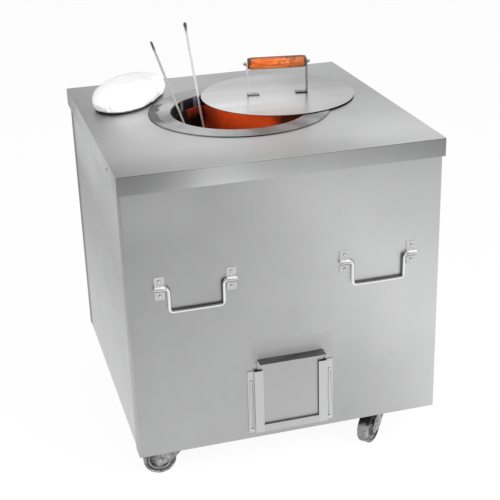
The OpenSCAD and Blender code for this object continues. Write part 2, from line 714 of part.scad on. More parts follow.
module fork(i) color(mild_steel) caster(i) rotate([0, 0, trail_turn[i]]) difference() {
    union() {
        intersection() {
            translate([0, 0, crown_z]) cylinder(r = crown_r, h = crown_t, $fn = 64);
            translate([0, 0, crown_z + crown_t / 2])
                cube([2 * crown_r, fork_gap + 2 * fork_t, 2 * crown_t], center = true);
        }
        for (s = [-1, 1]) translate([0, s * (fork_gap + fork_t) / 2, 0]) rotate([90, 0, 0])
            linear_extrude(fork_t, center = true) cheek_outline();
    }
    translate([0, 0, crown_z - eps]) cylinder(d = kingpin_d + 2 * run, h = crown_t + 2 * eps, $fn = 40);
}

// Puts a piece on a caster's axle line, which becomes its Z axis
module axle_place(i) caster(i) rotate([0, 0, trail_turn[i]]) translate([trail, 0, wheel_d / 2])
    rotate([90, 0, 0]) children();

// Riveted axle with a head on each side
module axle(i) color([0.6, 0.6, 0.6]) axle_place(i) {
    seat = fork_gap / 2 + fork_t;
    cylinder(d = axle_d, h = 2 * seat + 1, center = true, $fn = 40);
    for (s = [0, 1]) mirror([0, 0, s]) translate([0, 0, seat]) {
        cylinder(d = axle_d * 1.7, h = 2, $fn = 40);
        translate([0, 0, 2]) cylinder(d1 = axle_d * 1.7, d2 = axle_d, h = 2, $fn = 40);
    }
}

tyre_in_r = wheel_d / 2 - 9;

// Wheel centre with its hub, web and rim
module wheel(i) color([0.55, 0.55, 0.56]) axle_place(i) rotate_extrude($fn = 96) {
    bore_r = axle_d / 2 + run;
    translate([bore_r, -fork_gap / 2 + 0.5]) square([6, fork_gap - 1]);
    translate([bore_r, -3]) square([tyre_in_r - bore_r, 6]);
    translate([tyre_in_r - 5, -wheel_w / 2 + 2]) square([5, wheel_w - 4]);
}

// Tyre with rounded shoulders
module tyre(i) color([0.45, 0.45, 0.46]) axle_place(i) rotate_extrude($fn = 96) {
    shoulder = 4;
    translate([tyre_in_r, -wheel_w / 2]) square([wheel_d / 2 - shoulder - tyre_in_r, wheel_w]);
    translate([tyre_in_r, -wheel_w / 2 + shoulder]) square([wheel_d / 2 - tyre_in_r, wheel_w - 2 * shoulder]);
    for (s = [-1, 1]) translate([wheel_d / 2 - shoulder, s * (wheel_w / 2 - shoulder)])
        circle(shoulder, $fn = 32);
}

top_cover();
front_panel();
side_panel(-1);  // left_side_panel
side_panel(1);  // right_side_panel
back_panel();
base_plate();
base_frame();
corner_posts();
top_frame();
mouth_collar();
clay_pot();
hearth_slab();
fire_grate();
insulation_fill();
ash_duct();
ash_door();
ash_guide(-1);  // ash_guide_left
ash_guide(1);  // ash_guide_right
ash_sill();
guide_screws();
cover_screws();
bail(-1, true);  // bail_front_left
bail(1, true);  // bail_front_right
bail(-1, false);  // bail_rear_left
bail(1, false);  // bail_rear_right
bail_straps(true);  // bail_straps_front
bail_straps(false);  // bail_straps_rear
bail_rivets(true);  // bail_rivets_front
bail_rivets(false);  // bail_rivets_rear
lid_disc();
lid_upright(-1);  // lid_upright_left
lid_upright(1);  // lid_upright_right
lid_grip();
lid_rod();
lid_nuts();
lid_rivets();
skewer(0);  // skewer_1
skewer(1);  // skewer_2
bread_pad();
caster_plates();
caster_kingpins();
caster_bolts();
fork(0);  // fork_front_left
fork(1);  // fork_front_right
fork(2);  // fork_rear_left
fork(3);  // fork_rear_right
axle(0);  // axle_front_left
axle(1);  // axle_front_right
axle(2);  // axle_rear_left
axle(3);  // axle_rear_right
wheel(0);  // wheel_front_left
wheel(1);  // wheel_front_right
wheel(2);  // wheel_rear_left
wheel(3);  // wheel_rear_right
tyre(0);  // tyre_front_left
tyre(1);  // tyre_front_right
tyre(2);  // tyre_rear_left
tyre(3);  // tyre_rear_right
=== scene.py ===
import math

import bpy
from mathutils import Matrix, Vector, noise


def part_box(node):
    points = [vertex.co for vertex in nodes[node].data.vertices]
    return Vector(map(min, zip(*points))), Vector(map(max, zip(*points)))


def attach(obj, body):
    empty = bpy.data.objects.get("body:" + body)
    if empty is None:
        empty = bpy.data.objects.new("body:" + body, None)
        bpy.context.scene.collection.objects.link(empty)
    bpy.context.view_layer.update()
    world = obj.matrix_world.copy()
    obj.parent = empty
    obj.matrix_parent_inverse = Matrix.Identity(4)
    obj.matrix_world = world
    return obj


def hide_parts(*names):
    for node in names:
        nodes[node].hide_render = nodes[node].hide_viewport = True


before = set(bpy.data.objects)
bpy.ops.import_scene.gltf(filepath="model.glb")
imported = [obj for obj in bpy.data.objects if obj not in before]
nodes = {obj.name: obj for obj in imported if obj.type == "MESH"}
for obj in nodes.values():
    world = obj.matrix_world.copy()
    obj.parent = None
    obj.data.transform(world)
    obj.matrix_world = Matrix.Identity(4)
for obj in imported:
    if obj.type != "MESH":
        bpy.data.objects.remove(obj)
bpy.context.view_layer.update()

# Places on the frame that the looks refer to
_, cover_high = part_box("top_cover")
collar_low, collar_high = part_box("mouth_collar")
pad_low, pad_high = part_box("bread_pad")
MOUTH = Vector((0.0, (collar_low.y + collar_high.y) / 2, cover_high.z))

# Directions that a surface can face
LEFT = (-1, 0, 0)
RIGHT = (1, 0, 0)
FRONT = (0, -1, 0)
BACK = (0, 1, 0)
UP = (0, 0, 1)
DOWN = (0, 0, -1)


# Node building. A socket takes a plain value or the output of another node
def feed(tree, socket, value):
    if isinstance(value, bpy.types.NodeSocket):
        tree.links.new(value, socket)
    else:
        socket.default_value = value


def new_material(name, roughness, metallic=0.0):
    made = bpy.data.materials.new(name)
    made.use_nodes = True
    surface = made.node_tree.nodes["Principled BSDF"]
    surface.inputs["Roughness"].default_value = roughness
    surface.inputs["Metallic"].default_value = metallic
    return made, made.node_tree, surface


def add(tree, kind, settings=None, **values):
    made = tree.nodes.new(kind)
    for key, value in (settings or {}).items():
        setattr(made, key, value)
    for key, value in values.items():
        feed(tree, made.inputs[key.replace("_", " ")], value)
    return made


def object_place(tree, scale=(1, 1, 1), turn=(0, 0, 0), shift=(0, 0, 0)):
    place = add(tree, "ShaderNodeTexCoord").outputs["Object"]
    made = add(tree, "ShaderNodeMapping", Vector=place, Location=shift, Rotation=turn, Scale=scale)
    return made.outputs["Vector"]


# The place along one of the part's axes, or a value that is given in its stead
def reading(tree, axis):
    if isinstance(axis, str):
        return add(tree, "ShaderNodeSeparateXYZ", Vector=object_place(tree)).outputs[axis]
    return axis


def speckle(tree, place, scale, detail, roughness=0.5):
    made = add(tree, "ShaderNodeTexNoise", Vector=place, Scale=scale, Detail=detail, Roughness=roughness)
    return made.outputs["Fac"]


# A place that moves along X with a value, for a noise that varies with the value alone
def line_place(tree, value):
    return add(tree, "ShaderNodeCombineXYZ", X=value).outputs["Vector"]


def remap(tree, value, low, high, new_low, new_high, smooth=False):
    kind = {"interpolation_type": "SMOOTHSTEP"} if smooth else {}
    limits = {"From_Min": low, "From_Max": high, "To_Min": new_low, "To_Max": new_high}
    return add(tree, "ShaderNodeMapRange", kind, Value=value, **limits).outputs["Result"]


# From 0 at one place along an axis or value to 1 at another
def rise(tree, axis, start, end):
    return remap(tree, reading(tree, axis), start, end, 0.0, 1.0, smooth=True)


# From 1 at one place along an axis or value to 0 at another
def fade(tree, axis, start, end):
    return remap(tree, reading(tree, axis), start, end, 1.0, 0.0, smooth=True)


# A noise made to vary round a middle value
def vary(tree, grain, middle, reach):
    return remap(tree, grain, 0.3, 0.7, middle - reach, middle + reach)


def calculate(tree, how, first, second=0.0):
    made = add(tree, "ShaderNodeMath", {"operation": how})
    feed(tree, made.inputs[0], first)
    feed(tree, made.inputs[1], second)
    return made.outputs["Value"]


def times(tree, product, *factors):
    for factor in factors:
        product = calculate(tree, "MULTIPLY", product, factor)
    return product


def vector_math(tree, how, first, second=None):
    made = add(tree, "ShaderNodeVectorMath", {"operation": how})
    feed(tree, made.inputs[0], first)
    if second is not None:
        feed(tree, made.inputs[1], second)
    return made.outputs["Value" if how in ("DOT_PRODUCT", "LENGTH") else "Vector"]


def mix_tones(tree, share, first, second):
    made = add(tree, "ShaderNodeMix")
    for socket, value in zip(made.inputs[:1] + made.inputs[2:4], (share, first, second)):
        feed(tree, socket, value)
    return made.outputs[0]


def blend_colours(tree, share, first, second):
    made = add(tree, "ShaderNodeMix", {"data_type": "RGBA"})
    feed(tree, made.inputs[0], share)
    for socket, colour in zip(made.inputs[6:8], (first, second)):
        feed(tree, socket, (*colour, 1.0) if isinstance(colour, tuple) else colour)
    return made.outputs[2]


def ramp(tree, value, stops):
    made = add(tree, "ShaderNodeValToRGB", Fac=value)
    elements = made.color_ramp.elements
    while len(elements) < len(stops):
        elements.new(0.5)
    for element, (position, colour) in zip(elements, stops):
        element.position = position
        element.color = (*colour, 1.0)
    return made.outputs["Color"]


def bump(tree, height, distance, strength=1.0, under=None):
    made = add(tree, "ShaderNodeBump", Height=height, Distance=distance, Strength=strength)
    if under is not None:
        tree.links.new(under, made.inputs["Normal"])
    return made.outputs["Normal"]


# The surface takes its colour, its roughness and its relief from other nodes
def dress(tree, surface, colour, roughness, relief):
    tree.links.new(colour, surface.inputs["Base Color"])
    tree.links.new(roughness, surface.inputs["Roughness"])
    tree.links.new(relief, surface.inputs["Normal"])


# How far a surface faces along a direction: 0 where it is turned away, 1 where it faces it. Low and high are
# the cosines between which it changes
def facing(tree, direction, low=0.55, high=0.85):
    place = add(tree, "ShaderNodeTexCoord")
    turned = vector_math(tree, "DOT_PRODUCT", place.outputs["Normal"], Vector(direction).normalized())
    return rise(tree, turned, low, high)


# Brightness along an axis or another value, from (place, brightness) pairs. A curve reaches from 0 to 1, so
# it holds half the brightness
def tone_along(tree, axis, stops):
    low, high = stops[0][0], stops[-1][0]
    share = remap(tree, reading(tree, axis), low, high, 0.0, 1.0)
    made = add(tree, "ShaderNodeFloatCurve", Value=share)
    curve = made.mapping.curves[0]
    while len(curve.points) < len(stops):
        curve.points.new(0.5, 0.5)
    for point, (place, tone) in zip(curve.points, stops):
        point.location = ((place - low) / (high - low), tone / 2)
    made.mapping.update()
    return times(tree, made.outputs["Value"], 2.0)


# One value where another lies within a range, easing to 0 outside it
def within(tree, value, middle, half, ease):
    away = calculate(tree, "ABSOLUTE", calculate(tree, "SUBTRACT", value, middle))
    return fade(tree, away, half, half + ease)


# Brightness where two sheets meet: a bend catches the light along its length
def bend_line(tree, direction, gain):
    return remap(tree, facing(tree, direction, 0.93, 0.99), 0.0, 1.0, 1.0, gain)


# Sheet steel with a brushed grain; grain gives how fine the streaks are along X, Y and Z, and streak, cloud
# and wave how strong the streaks, the clouds and the dents are. Bare is the share that shines as bare metal;
# where film is 1 the steel is covered by a dull grey film
def brushed_steel(name, colour, roughness, grain, streak=0.018, cloud=0.03, wave=0.0006, shade=None,
                  film=None, bare=1.0):
    made, tree, surface = new_material(name, roughness, bare)
    if film is not None:
        tree.links.new(calculate(tree, "SUBTRACT", 1.0, film(tree)), surface.inputs["Metallic"])
    streaks = speckle(tree, object_place(tree, grain), 1.0, 5.0, 0.65)
    clouds = speckle(tree, object_place(tree), 4.5, 3.0, 0.5)
    smears = speckle(tree, object_place(tree, shift=(3, 1, 2)), 16.0, 4.0, 0.6)
    tone = calculate(tree, "ADD", vary(tree, streaks, 1, streak), vary(tree, clouds, 0, cloud))
    if shade is not None:
        tone = times(tree, tone, shade(tree))
    grey = add(tree, "ShaderNodeCombineColor")
    for socket, share in zip(grey.inputs, colour):
        tree.links.new(times(tree, tone, share), socket)
    rough = calculate(tree, "ADD", vary(tree, streaks, roughness, 0.02),
                      remap(tree, smears, 0.45, 0.75, 0.0, 0.06))
    dents = bump(tree, speckle(tree, object_place(tree), 3.2, 1.0), wave)
    dress(tree, surface, grey.outputs["Color"], rough, bump(tree, streaks, 0.000004, 0.6, dents))
    return made


# Painted reflection and shade on the cover: its edges are painted darker than its middle, with a painted
# highlight along its front bend. Each list gives the brightness of one of its faces along one axis, and
# COVER_RIGHT_Y that of the right part of its top
COVER_TOP_X = [(-0.36, 0.54), (-0.30, 0.63), (-0.22, 0.79), (-0.08, 0.79), (0.08, 0.70), (0.24, 0.86),
               (0.36, 0.87)]
COVER_TOP_Y = [(-0.35, 0.86), (-0.30, 0.96), (-0.2, 1.18), (-0.08, 1.14), (0.08, 0.97), (0.37, 0.98)]
COVER_RIGHT_Y = [(-0.35, 1.15), (-0.27, 1.02), (-0.2, 0.88), (-0.1, 0.78), (0.37, 0.83)]
COVER_FRONT_X = [(-0.36, 0.50), (-0.29, 0.57), (-0.22, 0.84), (-0.15, 1.17), (-0.05, 0.96), (0.12, 0.82),
                 (0.25, 0.69), (0.36, 0.56)]
COVER_FRONT_Z = [(0.715, 1.15), (0.735, 1.02), (0.76, 0.95)]
COVER_LEFT_Y = [(-0.35, 0.72), (-0.30, 0.92), (-0.22, 1.12), (-0.05, 1.27), (0.15, 1.24), (0.25, 0.98),
                (0.37, 0.80)]
COVER_GAIN = 1.08
COVER_BEND_GAIN = 1.45


def cover_shade(tree):
    at_right = remap(tree, reading(tree, "X"), 0.05, 0.24, 0.0, 1.0)
    right = mix_tones(tree, at_right, 1.0, tone_along(tree, "Y", COVER_RIGHT_Y))
    top = times(tree, tone_along(tree, "X", COVER_TOP_X), tone_along(tree, "Y", COVER_TOP_Y), right)
    front = times(tree, tone_along(tree, "X", COVER_FRONT_X), tone_along(tree, "Z", COVER_FRONT_Z))
    tone = mix_tones(tree, facing(tree, FRONT), top, front)
    tone = mix_tones(tree, facing(tree, LEFT), tone, tone_along(tree, "Y", COVER_LEFT_Y))
    return times(tree, tone, COVER_GAIN, bend_line(tree, (0, -1, 1), COVER_BEND_GAIN))


# A matt patch on the panel above the ash door keeps the steel there from mirroring the door's dark lip, and
# the panel's colour is painted darker over it. The patch thins out beyond half its width and has a sharp foot
# at the door and a soft top
FILM_MIDDLE = 0.003
FILM_HALF = 0.080
FILM_EASE = 0.018
FILM_FOOT = (0.290, 0.295)
FILM_TOP = (0.325, 0.350)
FILM_SHARE = 0.9
FILM_DIMMING = 1.75


def matt_patch(tree):
    across = within(tree, reading(tree, "X"), FILM_MIDDLE, FILM_HALF, FILM_EASE)
    foot = remap(tree, reading(tree, "Z"), *FILM_FOOT, 0.0, 1.0)
    up = times(tree, foot, fade(tree, "Z", *FILM_TOP))
    return times(tree, across, up, FILM_SHARE)


# Painted reflection and shade on the front panel: a lighter slanting band at the right, darker low at the
# right and lighter high at the left; its left return is in painted shade and its front-left bend has a
# painted highlight
FRONT_X = [(-0.36, 0.89), (-0.2, 0.99), (0.05, 1.03), (0.2, 1.07), (0.36, 1.14)]
FRONT_Z = [(0.1, 0.93), (0.25, 0.97), (0.35, 0.99), (0.6, 1.0), (0.7, 0.97), (0.76, 0.86)]
FRONT_SLANT = [(-0.26, 0.97), (-0.05, 0.89), (0.15, 0.89), (0.3, 0.98), (0.48, 1.17), (0.6, 1.11),
               (0.77, 0.97)]
SLANT_SLOPE = 0.6
LEFT_RETURN_Z = [(0.1, 0.64), (0.3, 0.69), (0.5, 0.56), (0.76, 0.52)]
LOW_RIGHT_GAIN = 0.9
HIGH_LEFT_GAIN = 1.12
CORNER_BEND_GAIN = 1.35


def front_shade(tree):
    slant = calculate(tree, "ADD", reading(tree, "X"), times(tree, reading(tree, "Z"), SLANT_SLOPE))
    tone = times(tree, tone_along(tree, "X", FRONT_X), tone_along(tree, "Z", FRONT_Z),
                 tone_along(tree, slant, FRONT_SLANT))
    low_right = times(tree, rise(tree, "Z", 0.38, 0.22), rise(tree, "X", -0.15, 0.05))
    high_left = times(tree, rise(tree, "Z", 0.58, 0.68), rise(tree, "X", -0.15, -0.25))
    for share, gain in ((low_right, LOW_RIGHT_GAIN), (high_left, HIGH_LEFT_GAIN)):
        tone = times(tree, tone, remap(tree, share, 0.0, 1.0, 1.0, gain))
    # The colour is painted darker over the matt patch above the door
    dulled = calculate(tree, "ADD", 1.0, times(tree, matt_patch(tree), FILM_DIMMING))
    tone = calculate(tree, "DIVIDE", tone, dulled)
    tone = mix_tones(tree, facing(tree, LEFT), tone, tone_along(tree, "Z", LEFT_RETURN_Z))
    return times(tree, tone, bend_line(tree, (-1, -1, 0), CORNER_BEND_GAIN))


# Painted reflection and shade on the side panels: darkest at mid height and along their rear edge, and
# lighter high up at the back
SIDE_Z = [(0.1, 1.02), (0.25, 0.99), (0.35, 0.96), (0.45, 0.88), (0.55, 0.88), (0.62, 1.0), (0.69, 1.16),
          (0.76, 1.1)]
SIDE_Y = [(-0.35, 0.97), (-0.1, 0.98), (0.0, 0.99), (0.15, 0.97), (0.30, 0.93), (0.322, 0.80), (0.34, 0.50),
          (0.37, 0.4)]
HIGH_BACK_GAIN = 1.25
BACK_RETURN_SHADE = 0.45


def side_shade(tree):
    high_back = times(tree, rise(tree, "Z", 0.56, 0.64), rise(tree, "Y", -0.1, 0.1))
    tone = times(tree, tone_along(tree, "Z", SIDE_Z), tone_along(tree, "Y", SIDE_Y))
    return times(tree, tone, remap(tree, high_back, 0.0, 1.0, 1.0, HIGH_BACK_GAIN))


# The back panel's left return is painted in shade
def back_shade(tree):
    return mix_tones(tree, facing(tree, LEFT), 1.0, BACK_RETURN_SHADE)


# The lid: painted reflection makes it darker towards the back and the right, a painted shadow darkens its
# edge, and it has wide soft streaks
LID_X = [(-0.06, 1.0), (0.0, 1.0), (0.06, 0.97), (0.12, 0.90), (0.18, 0.74), (0.24, 0.63), (0.30, 0.60)]
LID_Y = [(-0.09, 1.0), (-0.05, 1.03), (0.0, 1.08), (0.05, 1.12), (0.1, 0.98), (0.15, 0.87), (0.2, 0.82),
         (0.28, 0.78)]
LID_STREAK_TURN = (0, 0, math.radians(16))
LID_EDGE_SHADOW = 0.15


def lid_shade(tree):
    streaks = speckle(tree, object_place(tree, (3, 22, 3), LID_STREAK_TURN), 1.0, 2.0, 0.4)
    tone = times(tree, tone_along(tree, "X", LID_X), tone_along(tree, "Y", LID_Y),
                 remap(tree, streaks, 0.35, 0.65, 0.94, 1.06))
    return mix_tones(tree, facing(tree, UP, 0.3, 0.9), LID_EDGE_SHADOW, tone)


# Small round heads: a painted highlight where they face outwards and painted shade at their edges
def head_shade(*directions):
    def shade(tree):
        faces = [facing(tree, direction, 0.55, 0.99) for direction in directions]
        outward = faces[0]
        for face in faces[1:]:
            outward = calculate(tree, "MAXIMUM", outward, face)
        return remap(tree, outward, 0.0, 1.0, 0.2, 1.0)

    return shade


# A skewer is darker at its eye; painted light and shade give its brightness at its lower end and below the
# eye
SKEWER_EYE = 0.016


def skewer_shade(name, low_tone, high_tone):
    low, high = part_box(name)
    eye = high.z - SKEWER_EYE
    stops = [(low.z, low_tone), (eye - 0.1, high_tone), (eye - 0.012, high_tone * 0.92), (eye, 0.3),
             (high.z, 0.2)]
    return lambda tree: tone_along(tree, "Z", stops)


# The bent part of a strap has a painted highlight above and painted shade below; its flat ends are like the
# panel behind them
STRAP_HIGHLIGHT, STRAP_END, STRAP_UNDERSIDE_SHADE = 2.3, 1.05, 0.4


def strap_shade(tree):
    tone = mix_tones(tree, facing(tree, UP, 0.3, 0.7), STRAP_END, STRAP_HIGHLIGHT)
    return mix_tones(tree, facing(tree, DOWN, 0.2, 0.6), tone, STRAP_UNDERSIDE_SHADE)


# The uprights of the lid's handle are dark at their feet
def foot_shade(tree):
    return remap(tree, reading(tree, "Z"), 0.765, 0.772, 0.25, 1.0, smooth=True)


# A bail has painted shade on the sides that face the inside of its U and a painted highlight on the others
def bail_shade(name):
    low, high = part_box(name)
    middle = (low + high) / 2

    def shade(tree):
        place = add(tree, "ShaderNodeTexCoord")
        inwards = vector_math(tree, "SUBTRACT", (middle.x, middle.y, high.z), place.outputs["Object"])
        inwards = vector_math(tree, "NORMALIZE", inwards)
        turned = vector_math(tree, "DOT_PRODUCT", place.outputs["Normal"], inwards)
        return remap(tree, turned, 0.25, 0.65, 1.38, 0.25, smooth=True)

    return shade


# The lip that a foot lifts is darker on top, with streaks along it
LIP_X = [(-0.08, 1.1), (0.0, 0.95), (0.05, 1.0), (0.08, 1.5)]


def lip_shade(tree):
    streaks = speckle(tree, object_place(tree, (14, 240, 14)), 1.0, 4.0, 0.6)
    dark = times(tree, remap(tree, streaks, 0.36, 0.64, 0.22, 0.54), tone_along(tree, "X", LIP_X))
    return mix_tones(tree, facing(tree, UP), 1.0, dark)


# How fine the grain is on each kind of piece: the streaks run along X on the cover and the lid, and up the
# panels, the door and the uprights
STEEL = (0.57, 0.572, 0.575)
ROD_STEEL = (0.7, 0.7, 0.7)
COVER_GRAIN = (6, 500, 500)
LID_GRAIN = (5, 500, 500)
PANEL_GRAIN = (500, 500, 5)
DOOR_GRAIN = (500, 500, 8)
UPRIGHT_GRAIN = (200, 200, 30)
SMALL_GRAIN = (90, 90, 300)
HEAD_GRAIN = (90, 90, 90)
CASTER_GRAIN = (120, 120, 120)
BAIL_GRAIN = (30, 30, 30)
SKEWER_GRAIN = (20, 20, 20)


def panel_steel(name, shade, film=None):
    return brushed_steel(name, STEEL, 0.38, PANEL_GRAIN, shade=shade, film=film)


def upright_steel(name, colour, bare=1.0):
    return brushed_steel(name, colour, 0.36, UPRIGHT_GRAIN, wave=0.0, shade=foot_shade, bare=bare)


def head_steel(name, tone, *directions):
    shade = head_shade(*directions)
    return brushed_steel(name, (tone, tone, tone), 0.3, HEAD_GRAIN, wave=0.0, shade=shade)


def skewer_steel(name, piece, low_tone, high_tone, bare):
    shade = skewer_shade(piece, low_tone, high_tone)
    return brushed_steel(name, ROD_STEEL, 0.55, SKEWER_GRAIN, 0.01, 0.02, 0.0, shade, bare=bare)


def bail_steel(name):
    return brushed_steel(name + "_rod", ROD_STEEL, 0.3, BAIL_GRAIN, 0.01, 0.02, 0.0, bail_shade(name))


cover_steel = brushed_steel("cover_steel", STEEL, 0.34, COVER_GRAIN, shade=cover_shade)
front_steel = panel_steel("front_steel", front_shade, matt_patch)
side_steel = panel_steel("side_steel", side_shade)
back_steel = panel_steel("back_steel", back_shade)
door_steel = brushed_steel("door_steel", (0.55, 0.55, 0.553), 0.36, DOOR_GRAIN)
lip_steel = brushed_steel("lip_steel", (0.485, 0.485, 0.488), 0.36, DOOR_GRAIN, shade=lip_shade)
guide_steel = brushed_steel("guide_steel", (0.61, 0.612, 0.615), 0.36, DOOR_GRAIN, streak=0.05)
lid_steel = brushed_steel("lid_steel", (0.68, 0.68, 0.68), 0.3, LID_GRAIN, wave=0.0003, shade=lid_shade)
small_steel = brushed_steel("small_steel", (0.72, 0.725, 0.73), 0.26, SMALL_GRAIN, wave=0.0)
strap_steel = brushed_steel("strap_steel", (0.53, 0.532, 0.535), 0.38, SMALL_GRAIN, wave=0.0,
                            shade=strap_shade, bare=0.85)
# The left upright is painted as lit and the right one as in shade, two copies of one steel
lit_left_upright = upright_steel("lit_left_upright", (1.0, 1.0, 1.0), bare=0.8)
shaded_right_upright = upright_steel("shaded_right_upright", (0.58, 0.60, 0.64))
# Heads that face the front are painted brighter than the others, as lit copies of one steel
top_heads = head_steel("top_heads", 0.7, UP)
side_heads = head_steel("side_heads", 0.7, LEFT, RIGHT)
front_heads = head_steel("front_heads", 0.95, FRONT)
back_heads = head_steel("back_heads", 0.7, BACK)
# The two skewers are lit and shaded copies of one steel, painted brighter towards their lower ends
first_skewer = skewer_steel("first_skewer", "skewer_1", 1.3, 0.85, bare=0.75)
second_skewer = skewer_steel("second_skewer", "skewer_2", 1.38, 1.2, bare=0.74)
caster_steel = brushed_steel("caster_steel", (0.42, 0.42, 0.425), 0.36, CASTER_GRAIN, streak=0.1, wave=0.0)


# The axes, radius and angle in degrees of a place seen from the middle of the mouth
def mouth_place(tree):
    split = add(tree, "ShaderNodeSeparateXYZ", Vector=object_place(tree, shift=-MOUTH))
    flat = add(tree, "ShaderNodeCombineXYZ", X=split.outputs["X"], Y=split.outputs["Y"]).outputs["Vector"]
    angle = calculate(tree, "ARCTAN2", split.outputs["Y"], split.outputs["X"])
    return split.outputs, flat, vector_math(tree, "LENGTH", flat), times(tree, angle, 180 / math.pi)


# The collar's ring is turned steel with sectors of painted reflection, and painted shade along its outer
# edge. At the left the pad's painted shadow and reflection lie on it: bright within a ragged line and black
# outside it. Its neck is black, partly heat-blackened and partly a painted reflection of the dark pot, with
# two painted highlights as bright streaks, each given by its angle, half width, soft edge and colour. Radii
# and heights are in metres
RING_REFLECTION_TONES = [(-180, 0.20), (-170, 0.20), (-160, 0.43), (-150, 0.42), (-140, 0.50), (-130, 0.50),
              (-120, 0.42), (-100, 0.30), (-90, 0.15), (-80, 0.19), (-70, 0.27), (-60, 0.20), (-50, 0.34),
              (-40, 0.22), (-28, 0.38), (30, 0.46), (90, 0.40), (110, 0.36), (130, 0.32), (150, 0.44),
              (160, 0.40), (170, 0.30), (180, 0.20)]
NECK_TONES = [(0.45, (0.006, 0.008, 0.010)), (0.62, (0.02, 0.024, 0.028)), (0.7, (0.008, 0.010, 0.012))]
NECK_HIGHLIGHTS = [(116.5, 1.2, 1.6, (0.14, 0.17, 0.21)), (134.0, 1.0, 1.5, (0.11, 0.10, 0.09))]
NECK_SHINE = 0.06
NECK_LEVELS = (-0.0012, -0.0002)
NECK_RADII = (0.1615, 0.1625)
RING_EDGE_SHADE = (0.2085, 0.2100)
PAD_SHADOW_LINE = (0.186, 0.192)
PAD_SHADOW_X = (-0.10, -0.13)
PAD_SHADOW_Y = (0.035, 0.055, 0.03)


def collar_material():
    made, tree, surface = new_material("collar_steel", 0.3, 1.0)
    axes, flat, radius, angle = mouth_place(tree)
    clouds = speckle(tree, flat, 30.0, 4.0, 0.6)
    turned = speckle(tree, line_place(tree, times(tree, radius, 300.0)), 1.0, 3.0, 0.6)
    # The pad's painted shadow and reflection lie on the ring at the left
    pad_shadow_place = times(tree, within(tree, axes["Y"], *PAD_SHADOW_Y), remap(tree, axes["X"], *PAD_SHADOW_X, 0.0, 1.0))
    ragged = calculate(tree, "ADD", radius, vary(tree, clouds, 0, 0.006))
    pad_shadow_tone = remap(tree, ragged, *PAD_SHADOW_LINE, 1.25, 0.14, smooth=True)
    # Sectors of painted reflection, and painted shade along the outer edge
    ring = times(tree, tone_along(tree, angle, RING_REFLECTION_TONES), mix_tones(tree, pad_shadow_place, 1.0, pad_shadow_tone),
                 remap(tree, radius, *RING_EDGE_SHADE, 1.0, 0.5), remap(tree, clouds, 0.35, 0.65, 0.86, 1.12),
                 remap(tree, turned, 0.3, 0.7, 0.96, 1.04))
    grey = add(tree, "ShaderNodeCombineColor", Red=ring, Green=ring, Blue=ring)
    haze = speckle(tree, line_place(tree, times(tree, angle, 0.12)), 1.0, 2.0, 0.5)
    neck = ramp(tree, haze, NECK_TONES)
    # Painted highlights as bright streaks on the neck
    for middle, half, ease, colour in NECK_HIGHLIGHTS:
        neck = blend_colours(tree, within(tree, angle, middle, half, ease), neck, colour)
    inside = times(tree, remap(tree, axes["Z"], *NECK_LEVELS, 1.0, 0.0),
                   remap(tree, radius, *NECK_RADII, 1.0, 0.0))
    tree.links.new(calculate(tree, "SUBTRACT", 1.0, inside), surface.inputs["Metallic"])
    surface.inputs["Specular IOR Level"].default_value = NECK_SHINE
    dress(tree, surface, blend_colours(tree, inside, grey.outputs["Color"], neck),
          remap(tree, clouds, 0.3, 0.7, 0.27, 0.36), bump(tree, turned, 0.000006))
    return made


# Fired clay, orange where the fire has cleaned it. Towards the left it turns brown and then black, with soot
# and painted shade; a brown patch at the right is the lid's painted shadow, and lower down it turns black.
# The bearings between which it changes are in degrees, the heights in metres from the mouth down
FIRED_CLAY = [(0.25, (0.80, 0.075, 0.010)), (0.5, (0.97, 0.100, 0.017)), (0.8, (1.0, 0.14, 0.032))]
BROWN_SOOT_AND_SHADE = (0.09, 0.022, 0.010)
SOOT_AND_SHADE = (0.006, 0.004, 0.003)
BROWN_BEARINGS = (88.0, 101.0)
LID_SHADOW_PATCH = (8.0, 22.0, 18.0)
SOOT_AND_SHADE_BEARINGS = (102.0, 114.0)
SOOT_AND_SHADE_HEIGHTS = (-0.050, -0.026)
BLACK_BEARINGS = (125.0, 131.0)
BLACK_HEIGHTS = (-0.30, -0.18)


